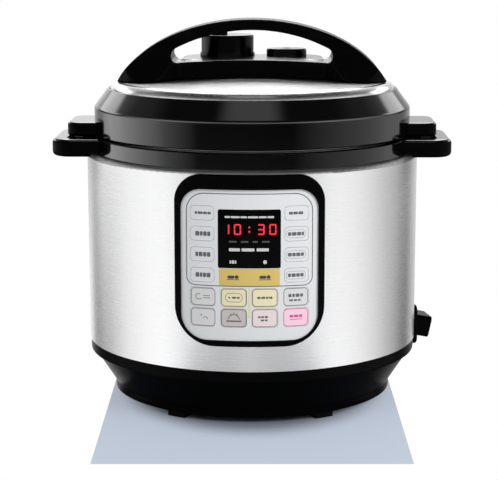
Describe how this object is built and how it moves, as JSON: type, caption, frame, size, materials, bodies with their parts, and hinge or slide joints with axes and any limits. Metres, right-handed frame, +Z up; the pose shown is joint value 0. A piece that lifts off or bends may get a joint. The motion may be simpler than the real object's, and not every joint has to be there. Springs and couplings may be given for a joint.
{
  "type": "electric pressure cooker",
  "caption": "Electric pressure cooker: steel drum on a black base, bayonet lid with an arched handle and steam valve, removable pot, front control panel with a display and keys.",
  "frame": {"origin": "on the cooker's axis, on the surface that its feet stand on", "axes": "+Z up along the axis, +X towards the right side handle, -Y towards the control panel"},
  "size_m": [0.3324, 0.3153, 0.3169],
  "materials": {
    "shell_steel": "bright brushed stainless",
    "pot_steel": "satin stainless",
    "black_gloss": "gloss black",
    "black_matte": "fine matte black",
    "foot_rubber": "matte black rubber",
    "silicone": "milky silicone",
    "plate_aluminium": "machined",
    "element_steel": "heat-darkened steel",
    "fastener_steel": "zinc-plated steel",
    "pin_brass": "nickel-plated brass",
    "board_green": "green circuit board",
    "part_dark": "black moulded parts",
    "panel_silver": "silver printed membrane",
    "display_glass": "smoked window",
    "clear_plastic": "clear plastic",
    "key_yellow": "pale gold printed membrane",
    "key_pink": "pink printed membrane",
    "key_silver": "silver printed membrane"
  },
  "bodies": {
    "cooker_base": {"base_housing": "black_gloss", "bottom_cover": "black_matte", "rubber_feet": "foot_rubber", "base_screws": "fastener_steel", "outer_shell": "shell_steel", "top_collar": "black_gloss", "exterior_pot": "pot_steel", "heating_plate": "plate_aluminium", "heating_element": "element_steel", "sensor_bracket": "black_matte", "sensor_spring": "fastener_steel", "thermal_fuse": "part_dark", "power_board": "board_green", "board_parts": "part_dark", "panel_bezel": "black_gloss", "panel_overlay": "panel_silver", "display_window": "display_glass", "display_module": "part_dark", "control_board": "board_green", "tactile_switches": "part_dark", "inlet_housing": "black_matte", "inlet_pins": "pin_brass", "collector_bracket": "black_matte"},
    "sensor": {"sensor_plunger": "plate_aluminium"},
    "condensation_cup": {"condensation_cup": "clear_plastic"},
    "inner_pot": {"inner_pot": "pot_steel"},
    "sealing_ring": {"sealing_ring": "silicone"},
    "lid": {"lid_cover": "black_gloss", "lid_top_plate": "shell_steel", "pressure_lid": "pot_steel", "ring_rack": "pot_steel", "lid_handle": "black_gloss", "handle_screws": "fastener_steel", "steam_pipe": "fastener_steel", "pipe_nut": "fastener_steel", "antiblock_shield": "pot_steel", "float_cover": "black_gloss", "lock_guide": "black_matte", "lock_spring": "fastener_steel"},
    "steam_valve": {"steam_valve_knob": "black_gloss"},
    "float_valve": {"float_pin": "pot_steel", "float_seal": "silicone"},
    "lock_pin": {"lock_pin": "fastener_steel"},
    "key_left_1": {"key_left_1": "key_silver"},
    "key_right_1": {"key_right_1": "key_silver"},
    "key_left_2": {"key_left_2": "key_silver"},
    "key_right_2": {"key_right_2": "key_silver"},
    "key_left_3": {"key_left_3": "key_silver"},
    "key_right_3": {"key_right_3": "key_silver"},
    "key_left_4": {"key_left_4": "key_silver"},
    "key_right_4": {"key_right_4": "key_silver"},
    "key_upper_1": {"key_upper_1": "key_silver"},
    "key_lower_1": {"key_lower_1": "key_silver"},
    "key_upper_2": {"key_upper_2": "key_yellow"},
    "key_lower_2": {"key_lower_2": "key_silver"},
    "key_upper_3": {"key_upper_3": "key_yellow"},
    "key_lower_3": {"key_lower_3": "key_silver"},
    "key_upper_4": {"key_upper_4": "key_silver"},
    "key_lower_4": {"key_lower_4": "key_pink"}
  },
  "joints": [
    {"name": "pot_lift", "type": "slide", "parent": "cooker_base", "child": "inner_pot", "axis": [0, 0, 1], "range_m": [0, 0.2]},
    {"name": "lid_lift", "type": "slide", "parent": "inner_pot", "child": "sealing_ring", "axis": [0, 0, 1], "range_m": [0, 0.25]},
    {"name": "lid_turn", "type": "hinge", "parent": "sealing_ring", "child": "lid", "pos_m": [0, 0, 0.22], "axis": [0, 0, 1], "range_deg": [0, 30]},
    {"name": "steam_valve_turn", "type": "hinge", "parent": "lid", "child": "steam_valve", "pos_m": [-0.022, 0.0415, 0.29], "axis": [0, 0, 1], "range_deg": [0, 50]},
    {"name": "float_rise", "type": "slide", "parent": "lid", "child": "float_valve", "axis": [0, 0, 1], "range_m": [0, 0.0055]},
    {"name": "lock_slide", "type": "slide", "parent": "lid", "child": "lock_pin", "axis": [0.587, 0.8096, 0], "range_m": [0, 0.0035], "stiffness_N_per_m": 250, "springref_m": -0.002, "deforming": ["lock_spring"]},
    {"name": "sensor_press", "type": "slide", "parent": "cooker_base", "child": "sensor", "axis": [0, 0, 1], "range_m": [-0.003, 0], "stiffness_N_per_m": 250, "springref_m": 0.004, "deforming": ["sensor_spring"]},
    {"name": "cup_pull", "type": "slide", "parent": "cooker_base", "child": "condensation_cup", "axis": [0, 1, 0], "range_m": [0, 0.05]},
    {"name": "press_key_left_1", "type": "slide", "parent": "cooker_base", "child": "key_left_1", "axis": [0.2629, 0.9648, 0], "range_m": [0, 0.0005], "stiffness_N_per_m": 100, "springref_m": -0.001},
    {"name": "press_key_right_1", "type": "slide", "parent": "cooker_base", "child": "key_right_1", "axis": [-0.2629, 0.9648, 0], "range_m": [0, 0.0005], "stiffness_N_per_m": 100, "springref_m": -0.001},
    {"name": "press_key_left_2", "type": "slide", "parent": "cooker_base", "child": "key_left_2", "axis": [0.2629, 0.9648, 0], "range_m": [0, 0.0005], "stiffness_N_per_m": 100, "springref_m": -0.001},
    {"name": "press_key_right_2", "type": "slide", "parent": "cooker_base", "child": "key_right_2", "axis": [-0.2629, 0.9648, 0], "range_m": [0, 0.0005], "stiffness_N_per_m": 100, "springref_m": -0.001},
    {"name": "press_key_left_3", "type": "slide", "parent": "cooker_base", "child": "key_left_3", "axis": [0.2629, 0.9648, 0], "range_m": [0, 0.0005], "stiffness_N_per_m": 100, "springref_m": -0.001},
    {"name": "press_key_right_3", "type": "slide", "parent": "cooker_base", "child": "key_right_3", "axis": [-0.2629, 0.9648, 0], "range_m": [0, 0.0005], "stiffness_N_per_m": 100, "springref_m": -0.001},
    {"name": "press_key_left_4", "type": "slide", "parent": "cooker_base", "child": "key_left_4", "axis": [0.2629, 0.9648, 0], "range_m": [0, 0.0005], "stiffness_N_per_m": 100, "springref_m": -0.001},
    {"name": "press_key_right_4", "type": "slide", "parent": "cooker_base", "child": "key_right_4", "axis": [-0.2629, 0.9648, 0], "range_m": [0, 0.0005], "stiffness_N_per_m": 100, "springref_m": -0.001},
    {"name": "press_key_upper_1", "type": "slide", "parent": "cooker_base", "child": "key_upper_1", "axis": [0.2629, 0.9648, 0], "range_m": [0, 0.0005], "stiffness_N_per_m": 100, "springref_m": -0.001},
    {"name": "press_key_lower_1", "type": "slide", "parent": "cooker_base", "child": "key_lower_1", "axis": [0.2629, 0.9648, 0], "range_m": [0, 0.0005], "stiffness_N_per_m": 100, "springref_m": -0.001},
    {"name": "press_key_upper_2", "type": "slide", "parent": "cooker_base", "child": "key_upper_2", "axis": [0.0876, 0.9962, 0], "range_m": [0, 0.0005], "stiffness_N_per_m": 100, "springref_m": -0.001},
    {"name": "press_key_lower_2", "type": "slide", "parent": "cooker_base", "child": "key_lower_2", "axis": [0.0876, 0.9962, 0], "range_m": [0, 0.0005], "stiffness_N_per_m": 100, "springref_m": -0.001},
    {"name": "press_key_upper_3", "type": "slide", "parent": "cooker_base", "child": "key_upper_3", "axis": [-0.0876, 0.9962, 0], "range_m": [0, 0.0005], "stiffness_N_per_m": 100, "springref_m": -0.001},
    {"name": "press_key_lower_3", "type": "slide", "parent": "cooker_base", "child": "key_lower_3", "axis": [-0.0876, 0.9962, 0], "range_m": [0, 0.0005], "stiffness_N_per_m": 100, "springref_m": -0.001},
    {"name": "press_key_upper_4", "type": "slide", "parent": "cooker_base", "child": "key_upper_4", "axis": [-0.2629, 0.9648, 0], "range_m": [0, 0.0005], "stiffness_N_per_m": 100, "springref_m": -0.001},
    {"name": "press_key_lower_4", "type": "slide", "parent": "cooker_base", "child": "key_lower_4", "axis": [-0.2629, 0.9648, 0], "range_m": [0, 0.0005], "stiffness_N_per_m": 100, "springref_m": -0.001}
  ]
}
